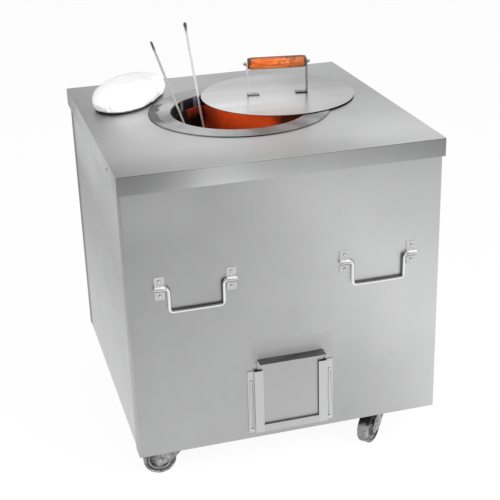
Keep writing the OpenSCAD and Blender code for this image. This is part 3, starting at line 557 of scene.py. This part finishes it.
def clay_material():
    made, tree, surface = new_material("clay", 0.85)
    place = object_place(tree)
    grain = speckle(tree, place, 90.0, 6.0, 0.6)
    smoke = speckle(tree, object_place(tree, (1, 1, 0.5)), 7.0, 4.0, 0.6)
    spots = speckle(tree, place, 75.0, 6.0, 0.75)
    axes, _, _, angle = mouth_place(tree)
    bearing = calculate(tree, "ADD", angle, vary(tree, spots, 0, 4.0))
    height = calculate(tree, "ADD", axes["Z"], vary(tree, spots, 0, 0.007))
    depth = calculate(tree, "ADD", axes["Z"], vary(tree, smoke, 0, 0.05))
    brown_soot_and_shade = remap(tree, bearing, *BROWN_BEARINGS, 0.0, 0.6, smooth=True)
    # A brown patch at the right is the lid's painted shadow
    brown_soot_and_shade = calculate(tree, "MAXIMUM", brown_soot_and_shade, within(tree, bearing, *LID_SHADOW_PATCH))
    # Soot and painted shade towards the left, and black lower down
    soot_and_shade = times(tree, rise(tree, bearing, *SOOT_AND_SHADE_BEARINGS), fade(tree, height, *SOOT_AND_SHADE_HEIGHTS))
    soot_and_shade = calculate(tree, "MAXIMUM", soot_and_shade, rise(tree, bearing, *BLACK_BEARINGS))
    soot_and_shade = calculate(tree, "MAXIMUM", soot_and_shade, fade(tree, depth, *BLACK_HEIGHTS))
    colour = blend_colours(tree, brown_soot_and_shade, ramp(tree, grain, FIRED_CLAY), BROWN_SOOT_AND_SHADE)
    colour = blend_colours(tree, soot_and_shade, colour, SOOT_AND_SHADE)
    relief = bump(tree, smoke, 0.004, 0.5, bump(tree, grain, 0.0008))
    dress(tree, surface, colour, remap(tree, grain, 0.3, 0.7, 0.6, 0.9), relief)
    return made


# Plain rough materials: two colours mixed by a noise, with the noise as relief
def rough_material(name, dark, light, scale, roughness, relief, metallic=0.0):
    made, tree, surface = new_material(name, roughness, metallic)
    grain = speckle(tree, object_place(tree), scale, 5.0, 0.6)
    patch = speckle(tree, object_place(tree, shift=(2, 5, 1)), scale / 9.0, 3.0, 0.5)
    mixed = blend_colours(tree, remap(tree, grain, 0.3, 0.7, 0.0, 1.0), dark, light)
    mixed = blend_colours(tree, remap(tree, patch, 0.45, 0.7, 0.0, 0.4), mixed, dark)
    dress(tree, surface, mixed, vary(tree, patch, roughness, 0.1), bump(tree, grain, relief))
    return made


iron = rough_material("grate_iron", (0.02, 0.018, 0.017), (0.07, 0.06, 0.055), 160.0, 0.75, 0.0006, 0.6)
firebrick = rough_material("firebrick", (0.32, 0.22, 0.14), (0.55, 0.42, 0.29), 70.0, 0.9, 0.001)
insulation = rough_material("insulation", (0.6, 0.55, 0.42), (0.8, 0.75, 0.62), 120.0, 0.95, 0.002)
frame_steel = rough_material("frame_steel", (0.08, 0.083, 0.087), (0.16, 0.163, 0.17), 45.0, 0.55, 0.0001,
                             0.7)
wheel_core = rough_material("wheel_core", (0.06, 0.06, 0.061), (0.30, 0.30, 0.305), 60.0, 0.55, 0.0001)
worn_fork = rough_material("worn_fork", (0.10, 0.10, 0.102), (0.42, 0.42, 0.425), 85.0, 0.5, 0.0001, 0.5)
axle_steel = rough_material("axle_steel", (0.22, 0.22, 0.22), (0.42, 0.42, 0.42), 90.0, 0.55, 0.0001, 0.5)

# Grey tyre with a worn tread, with painted shade where it meets the wheel's centre and a painted shadow high
# up under the base; each tyre's axle is turned by its own angle, in degrees
TYRES = {"tyre_front_left": 176, "tyre_front_right": 224, "tyre_rear_left": 205, "tyre_rear_right": 150}
TYRE_DARK = (0.09, 0.09, 0.091)
TYRE_LIGHT = (0.25, 0.25, 0.253)
TYRE_DUST = (0.05, 0.05, 0.05)
TYRE_SHADE = (0.008, 0.008, 0.008)
RECESS_SHADE_RADII = (0.0298, 0.0318)
BASE_SHADOW_HEIGHTS = (0.055, 0.064)


def tyre_material(name, axle_turn):
    made, tree, surface = new_material(name, 0.62)
    low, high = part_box(name)
    turn = math.radians(axle_turn)
    axle = (-math.sin(turn), math.cos(turn), 0.0)
    off_axle = vector_math(tree, "CROSS_PRODUCT", object_place(tree, shift=-(low + high) / 2), axle)
    radius = vector_math(tree, "LENGTH", off_axle)
    grain = speckle(tree, object_place(tree), 130.0, 4.0, 0.6)
    worn = speckle(tree, object_place(tree, shift=(1, 4, 2)), 60.0, 3.0, 0.6)
    colour = blend_colours(tree, remap(tree, worn, 0.38, 0.62, 0.0, 1.0), TYRE_DARK, TYRE_LIGHT)
    colour = blend_colours(tree, remap(tree, grain, 0.35, 0.65, 0.0, 0.5), colour, TYRE_DUST)
    ragged = calculate(tree, "ADD", reading(tree, "Z"), vary(tree, worn, 0, 0.006))
    # Painted shade where the tyre meets the wheel's centre and painted shadow high up under the base
    tyre_shade_and_shadow = calculate(tree, "MAXIMUM", fade(tree, radius, *RECESS_SHADE_RADII), rise(tree, ragged, *BASE_SHADOW_HEIGHTS))
    colour = blend_colours(tree, tyre_shade_and_shadow, colour, TYRE_SHADE)
    dress(tree, surface, colour, remap(tree, grain, 0.3, 0.7, 0.5, 0.75), bump(tree, grain, 0.0002))
    return made


# Wood with its grain along the grip, duller at the right, stained, scorched at the ends and darker along its
# upper and lower edges
GRIP_TURN = (0.0, 0.0, math.radians(9.8))
WOOD = [(0.34, (0.30, 0.046, 0.010)), (0.5, (0.53, 0.118, 0.019)), (0.66, (0.74, 0.26, 0.078))]
DULL_WOOD = (0.27, 0.072, 0.018)
STAINED_WOOD = (0.2, 0.05, 0.015)
DARK_WOOD = (0.035, 0.015, 0.008)
DULL_PLACES = (0.015, 0.055)
BURNT_ENDS = (0.062, 0.068)
DARK_EDGES = (0.0115, 0.0138)


def wood_material():
    made, tree, surface = new_material("grip_wood", 0.42)
    low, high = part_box("lid_grip")
    round_middle = object_place(tree, shift=-(low + high) / 2)
    place = add(tree, "ShaderNodeMapping", Vector=round_middle, Rotation=GRIP_TURN).outputs["Vector"]
    stretched = add(tree, "ShaderNodeMapping", Vector=place, Scale=(9, 110, 110)).outputs["Vector"]
    grain = speckle(tree, stretched, 1.0, 6.0, 0.65)
    cloud = speckle(tree, place, 38.0, 4.0, 0.6)
    axes = add(tree, "ShaderNodeSeparateXYZ", Vector=place).outputs
    duller = remap(tree, axes["X"], *DULL_PLACES, 0.0, 0.85, smooth=True)
    stains = remap(tree, cloud, 0.54, 0.66, 0.0, 0.8, smooth=True)
    ends = calculate(tree, "ADD", calculate(tree, "ABSOLUTE", axes["X"]), vary(tree, cloud, 0, 0.004))
    edges = calculate(tree, "ADD", calculate(tree, "ABSOLUTE", axes["Z"]), vary(tree, cloud, 0, 0.0025))
    scorched_and_dark = calculate(tree, "MAXIMUM", remap(tree, ends, *BURNT_ENDS, 0.0, 0.9, smooth=True),
                      remap(tree, edges, *DARK_EDGES, 0.0, 0.85, smooth=True))
    colour = ramp(tree, grain, WOOD)
    for share, mark in ((duller, DULL_WOOD), (stains, STAINED_WOOD), (scorched_and_dark, DARK_WOOD)):
        colour = blend_colours(tree, share, colour, mark)
    surface.inputs["Coat Weight"].default_value = 0.25
    dress(tree, surface, colour, remap(tree, grain, 0.3, 0.7, 0.34, 0.52), bump(tree, grain, 0.0003))
    return made


# White cotton with a fine weave, in painted shade on top and behind, painted as lit at the right, and with a
# painted contact shadow along its foot
COTTON = (0.62, 0.62, 0.62)
SOILED_COTTON = (0.59, 0.588, 0.583)
SHADED_COTTON = (0.24, 0.24, 0.24)
LIT_COTTON = (0.92, 0.92, 0.92)
FOOT_SHADOW_COTTON = (0.12, 0.12, 0.12)
THREAD_SCALE = 420.0
FOOT_SHADOW_LEVELS = (pad_low.z + 0.001, pad_low.z + 0.008)


def threads(tree, place, axis):
    settings = {"wave_type": "BANDS", "bands_direction": axis}
    return add(tree, "ShaderNodeTexWave", settings, Vector=place, Scale=THREAD_SCALE).outputs["Fac"]


def cloth_material():
    made, tree, surface = new_material("pad_cloth", 0.9)
    place = object_place(tree)
    soil = speckle(tree, place, 14.0, 4.0, 0.6)
    colour = blend_colours(tree, remap(tree, soil, 0.4, 0.75, 0.0, 0.25), COTTON, SOILED_COTTON)
    # Painted shade on top and behind, painted light at the right, and a painted contact shadow along the foot
    painted_shade_share = remap(tree, facing(tree, (0.13, 0.6, 0.79), 0.80, 1.0), 0.0, 1.0, 0.0, 0.75)
    painted_light_share = facing(tree, (0.75, -0.6, 0.0), 0.2, 0.8)
    foot_shadow = fade(tree, "Z", *FOOT_SHADOW_LEVELS)
    for share, mark in ((painted_shade_share, SHADED_COTTON), (painted_light_share, LIT_COTTON), (foot_shadow, FOOT_SHADOW_COTTON)):
        colour = blend_colours(tree, share, colour, mark)
    tree.links.new(colour, surface.inputs["Base Color"])
    weave = times(tree, threads(tree, place, "X"), threads(tree, place, "Y"))
    tree.links.new(bump(tree, weave, 0.00015, 0.5), surface.inputs["Normal"])
    surface.inputs["Sheen Weight"].default_value = 0.2
    return made


FINISHES = {
    "top_cover": cover_steel,
    "front_panel": front_steel,
    "left_side_panel": side_steel,
    "right_side_panel": side_steel,
    "back_panel": back_steel,
    "mouth_collar": collar_material(),
    "clay_pot": clay_material(),
    "hearth_slab": firebrick,
    "fire_grate": iron,
    "insulation_fill": insulation,
    "lid_disc": lid_steel,
    "lid_grip": wood_material(),
    "lid_upright_left": lit_left_upright,
    "lid_upright_right": shaded_right_upright,
    "skewer_1": first_skewer,
    "skewer_2": second_skewer,
    "ash_door": lip_steel,
    "ash_guide_left": guide_steel,
    "ash_guide_right": guide_steel,
    "ash_sill": door_steel,
    "guide_screws": front_heads,
    "cover_screws": side_heads,
    "lid_rivets": top_heads,
    "bail_rivets_front": front_heads,
    "bail_rivets_rear": back_heads,
    "bail_straps_front": strap_steel,
    "bail_straps_rear": strap_steel,
    "base_plate": frame_steel,
    "base_frame": frame_steel,
    "corner_posts": frame_steel,
    "top_frame": frame_steel,
    "ash_duct": frame_steel,
}

# Finishes of the pieces whose names start alike
FAMILIES = {"wheel": wheel_core, "fork": worn_fork, "axle": axle_steel, "caster": caster_steel}


def finish_of(name):
    if name in FINISHES:
        return FINISHES[name]
    if name in TYRES:
        return tyre_material(name, TYRES[name])
    if name.startswith(("bail_front", "bail_rear")):
        return bail_steel(name)
    for start, finish in FAMILIES.items():
        if name.startswith(start):
            return finish
    return small_steel


# Edges of the rigid pieces are broken a little, by a width that suits each. Points that lie together are
# joined first, so that only real edges are found
BEVELS = {"ash_door": 0.0005, "ash_guide": 0.0005, "ash_sill": 0.0005, "bail_straps": 0.0004, "fork": 0.0006,
          "lid_upright": 0.0006, "fire_grate": 0.0012, "caster_plates": 0.0005, "axle": 0.0004,
          "caster_bolts": 0.0005, "lid_nuts": 0.0003, "wheel": 0.0006, "lid_grip": 0.0006}
SAME_POINT = 0.00001
SHARP_EDGE = math.radians(35)


def break_edges(part, width):
    weld = part.modifiers.new("weld", "WELD")
    weld.merge_threshold = SAME_POINT
    bevel = part.modifiers.new("bevel", "BEVEL")
    bevel.width = width
    bevel.segments = 2
    bevel.limit_method = "ANGLE"
    bevel.angle_limit = SHARP_EDGE
    bevel.harden_normals = True


for name, part in nodes.items():
    part.data.materials.clear()
    part.data.materials.append(finish_of(name))
    for start, width in BEVELS.items():
        if name.startswith(start):
            break_edges(part, width)

# Stage: white to the camera, and a softly lit studio in reflections, brightest round the object
WHITE = (1, 1, 1, 1)
FLOOR_HALF = 14.0
FLOOR_TONE = 0.85
FLOOR_GLOW = 0.94


# Two values for a ray of light: the first is 1 where it comes from the camera, also through clear pieces, and
# the second is 1 where it is mirrored
def ray_kinds(tree):
    path = add(tree, "ShaderNodeLightPath").outputs
    seen = calculate(tree, "MAXIMUM", path["Is Camera Ray"], path["Is Transmission Ray"])
    return seen, path["Is Glossy Ray"]


def floor_material():
    made = bpy.data.materials.new("floor")
    made.use_nodes = True
    tree = made.node_tree
    tree.nodes.clear()
    seen, mirrored = ray_kinds(tree)
    near = remap(tree, vector_math(tree, "LENGTH", object_place(tree)), 0.3, 3.0, 1.05, 0.62)
    side = remap(tree, reading(tree, "X"), -1.5, 1.5, -0.10, 0.14)
    pool = calculate(tree, "ADD", near, side)
    share = calculate(tree, "MAXIMUM", times(tree, seen, FLOOR_GLOW), mirrored)
    strength = calculate(tree, "MAXIMUM", seen, times(tree, pool, mirrored))
    matt = add(tree, "ShaderNodeBsdfDiffuse", Color=(FLOOR_TONE, FLOOR_TONE, FLOOR_TONE, 1))
    light = add(tree, "ShaderNodeEmission", Strength=strength, Color=WHITE)
    mix = add(tree, "ShaderNodeMixShader", Fac=share)
    tree.links.new(matt.outputs["BSDF"], mix.inputs[1])
    tree.links.new(light.outputs["Emission"], mix.inputs[2])
    add(tree, "ShaderNodeOutputMaterial", Surface=mix.outputs["Shader"])
    return made


def new_object(name, data):
    made = bpy.data.objects.new(name, data)
    bpy.context.scene.collection.objects.link(made)
    return made


def make_floor():
    corners = [(-FLOOR_HALF, -FLOOR_HALF, 0), (FLOOR_HALF, -FLOOR_HALF, 0), (FLOOR_HALF, FLOOR_HALF, 0),
               (-FLOOR_HALF, FLOOR_HALF, 0)]
    mesh = bpy.data.meshes.new("floor")
    mesh.from_pydata(corners, [], [(0, 1, 2, 3)])
    mesh.materials.append(floor_material())
    floor = new_object("floor", mesh)


# World: even light, and for reflections a studio that is brighter on the right and dim behind the camera
ROOM_LIGHT = 0.62


def make_world():
    world = bpy.data.worlds.new("studio")
    bpy.context.scene.world = world
    world.use_nodes = True
    tree = world.node_tree
    tree.nodes.clear()
    place = add(tree, "ShaderNodeTexCoord").outputs["Generated"]
    axes = add(tree, "ShaderNodeSeparateXYZ", Vector=place).outputs
    studio = times(tree, remap(tree, axes["X"], -0.1, 0.5, 0.78, 1.05, smooth=True),
                   remap(tree, axes["Y"], -0.9, -0.3, 0.25, 1.0, smooth=True))
    seen, mirrored = ray_kinds(tree)
    level = mix_tones(tree, seen, mix_tones(tree, mirrored, ROOM_LIGHT, studio), 1.0)
    background = add(tree, "ShaderNodeBackground", Strength=level, Color=WHITE)
    add(tree, "ShaderNodeOutputWorld", Surface=background.outputs["Background"])


# Each lamp's place, the point it is aimed at, its size and its power in watts. A lamp is not mirrored in the
# steel, so that the sheets stay free of glare from every side
LAMPS = {
    "key": ((-2.3, -1.9, 1.75), (-0.1, 0, 0.6), (1.2, 0.9), 85),
    "fill": ((1.3, -2.3, 1.7), (-0.1, 0, 0.7), (1.2, 0.9), 84),
    "top": ((0.4, 0.6, 3.0), (0, 0, 0.5), (2.2, 2.2), 18),
}


def make_lamp(name, place, target, size, watts):
    data = bpy.data.lights.new(name, "AREA")
    data.shape = "RECTANGLE"
    data.size, data.size_y = size
    data.energy = watts
    lamp = new_object(name, data)
    lamp.location = place
    lamp.visible_glossy = False
    lamp.rotation_euler = (Vector(target) - Vector(place)).to_track_quat("-Z", "Y").to_euler()


# The camera's place, the directions of its right, its up and its back, and its lens in millimetres
CAMERA_PLACE = (-0.6708, -2.4708, 1.5144)
CAMERA_RIGHT = (0.96024, -0.27767, -0.02902)
CAMERA_UP = (0.13551, 0.37268, 0.91801)
CAMERA_BACK = (-0.24409, -0.88545, 0.39548)
CAMERA_SENSOR = 36.0
CAMERA_LENS = 82.62
CAMERA_REACH = 60.0


def make_camera():
    data = bpy.data.cameras.new("camera")
    data.sensor_width = CAMERA_SENSOR
    data.lens = CAMERA_LENS
    data.clip_end = CAMERA_REACH
    camera = new_object("camera", data)
    turn = Matrix((CAMERA_RIGHT, CAMERA_UP, CAMERA_BACK)).transposed().to_4x4()
    camera.matrix_world = Matrix.Translation(CAMERA_PLACE) @ turn
    bpy.context.scene.camera = camera


make_camera()
make_floor()
make_world()
for name, settings in LAMPS.items():
    make_lamp(name, *settings)
bpy.context.scene.view_settings.view_transform = "Standard"

# Bread pad: a stuffed white cloth, gathered at its right end. Along runs to its right end, across to its back
PAD_TURN = math.radians(51)
PAD_MIDDLE = (pad_low + pad_high) / 2
PAD_FLOOR = pad_low.z + 0.0004
PAD_CEILING = pad_high.z - 0.0002
PAD_VOXEL = 0.004

# The stuffing changes the pad's outline, so the pad is trimmed first: lower, shorter at its left end, longer
# at its right end, and wider, but narrower towards its right end, most of all on the near side
TRIM_LENGTH = 0.08
LEFT_DRAW = 0.04
RIGHT_SCALE = 1.02
WIDTH_SCALE = 1.03
NEAR_DRAW = 0.10
FAR_DRAW = 0.01
HEIGHT_SCALE = 0.93

# The cloth is inflated for some frames, and no point of it moves further than the reach
SWELL_FRAMES = 20
SWELL_REACH = 0.0035
CLOTH = {"quality": 6, "mass": 0.2, "tension_stiffness": 18, "compression_stiffness": 18,
         "shear_stiffness": 6, "bending_stiffness": 0.25, "use_pressure": True, "uniform_pressure_force": 4.0,
         "shrink_min": -0.05}

# Folds and creases run out from the gather and fade over their reach, twisted by a noise; low lumps are
# everywhere, and the hem bulges along the foot
GATHER = Vector((0.088, -0.054, pad_low.z + 0.034))
FOLDS_ROUND = 17
FOLD_HEIGHT = 0.0009
FOLD_REACH = 0.038
FOLD_TWIST = 2.5
TWIST_SCALE = 22
CREASE_HEIGHT = 0.0012
CREASE_REACH = 0.05
CREASE_SCALE = 30
CREASES_ROUND = 5.5
LUMP_HEIGHT = 0.0006
LUMP_SCALE = 26
HEM_HEIGHT = 0.0025
HEM_RISE = 0.006
HEM_HALF = 0.005


def pad_places(point):
    away = point - PAD_MIDDLE
    along = away.x * math.cos(PAD_TURN) + away.y * math.sin(PAD_TURN)
    across = -away.x * math.sin(PAD_TURN) + away.y * math.cos(PAD_TURN)
    return along, across


def trim_pad(mesh):
    for vertex in mesh.vertices:
        along, across = pad_places(vertex.co)
        at_right = min(1.0, max(0.0, (along + TRIM_LENGTH / 2) / TRIM_LENGTH))
        if along < 0:
            along *= 1 - LEFT_DRAW * min(1.0, -along / TRIM_LENGTH)
        else:
            along *= RIGHT_SCALE
        across *= WIDTH_SCALE - at_right * (NEAR_DRAW if across < 0 else FAR_DRAW)
        vertex.co.x = PAD_MIDDLE.x + along * math.cos(PAD_TURN) - across * math.sin(PAD_TURN)
        vertex.co.y = PAD_MIDDLE.y + along * math.sin(PAD_TURN) + across * math.cos(PAD_TURN)
        vertex.co.z = PAD_MIDDLE.z + (vertex.co.z - PAD_MIDDLE.z) * HEIGHT_SCALE


def swell(pad):
    modifier = pad.modifiers.new("cloth", "CLOTH")
    for key, value in CLOTH.items():
        setattr(modifier.settings, key, value)
    modifier.settings.effector_weights.gravity = 0.0
    scene = bpy.context.scene
    start = [vertex.co.copy() for vertex in pad.data.vertices]
    for step in range(1, SWELL_FRAMES + 1):
        scene.frame_set(step)
    shown = pad.evaluated_get(bpy.context.evaluated_depsgraph_get())
    swollen = [vertex.co.copy() for vertex in shown.data.vertices]
    pad.modifiers.remove(modifier)
    scene.frame_set(1)
    for vertex, old, new in zip(pad.data.vertices, start, swollen):
        step = new - old
        if step.length > SWELL_REACH:
            step = step.normalized() * SWELL_REACH
        vertex.co = old + step


def crease_pad(mesh):
    normals = [vertex.normal.copy() for vertex in mesh.vertices]
    for vertex, normal in zip(mesh.vertices, normals):
        along, across = pad_places(vertex.co)
        away = Vector((along, across, vertex.co.z)) - GATHER
        spread = away.length
        turn = math.atan2(away.z, away.y)
        place = Vector([axis * TWIST_SCALE for axis in (along, across, vertex.co.z)])
        twist = FOLD_TWIST * noise.noise(place)
        fold = math.cos(FOLDS_ROUND * turn + twist) * math.exp(-spread / FOLD_REACH)
        ray = Vector((spread * CREASE_SCALE, turn * CREASES_ROUND, 0.0))
        crease = noise.noise(ray) * math.exp(-spread / CREASE_REACH)
        lump = noise.noise(vertex.co * LUMP_SCALE)
        vertex.co += normal * (FOLD_HEIGHT * fold + CREASE_HEIGHT * crease + LUMP_HEIGHT * lump)
        edge = math.exp(-((vertex.co.z - pad_low.z - HEM_RISE) / HEM_HALF) ** 2)
        bearing = math.atan2(across, along)
        wide = noise.noise(Vector((bearing * 3.0, 4.0, 0.0)))
        narrow = noise.noise(Vector((bearing * 9.0, 1.0, 0.0)))
        vertex.co += normal * (HEM_HEIGHT * edge * (0.5 + wide + 0.5 * narrow))
        vertex.co.z = min(max(vertex.co.z, PAD_FLOOR), PAD_CEILING)


def make_pad():
    mesh = nodes["bread_pad"].data.copy()
    mesh.materials.clear()
    pad = new_object("bread_pad_cloth", mesh)
    trim_pad(mesh)
    bpy.context.view_layer.objects.active = pad
    remesh = pad.modifiers.new("remesh", "REMESH")
    remesh.mode = "VOXEL"
    remesh.voxel_size = PAD_VOXEL
    bpy.ops.object.modifier_apply(modifier=remesh.name)
    swell(pad)
    finer = pad.modifiers.new("finer", "SUBSURF")
    finer.levels = 1
    finer.render_levels = 1
    bpy.ops.object.modifier_apply(modifier=finer.name)
    crease_pad(pad.data)
    for face in pad.data.polygons:
        face.use_smooth = True
    pad.data.materials.append(cloth_material())
    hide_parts("bread_pad")
    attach(pad, "pad")


make_pad()
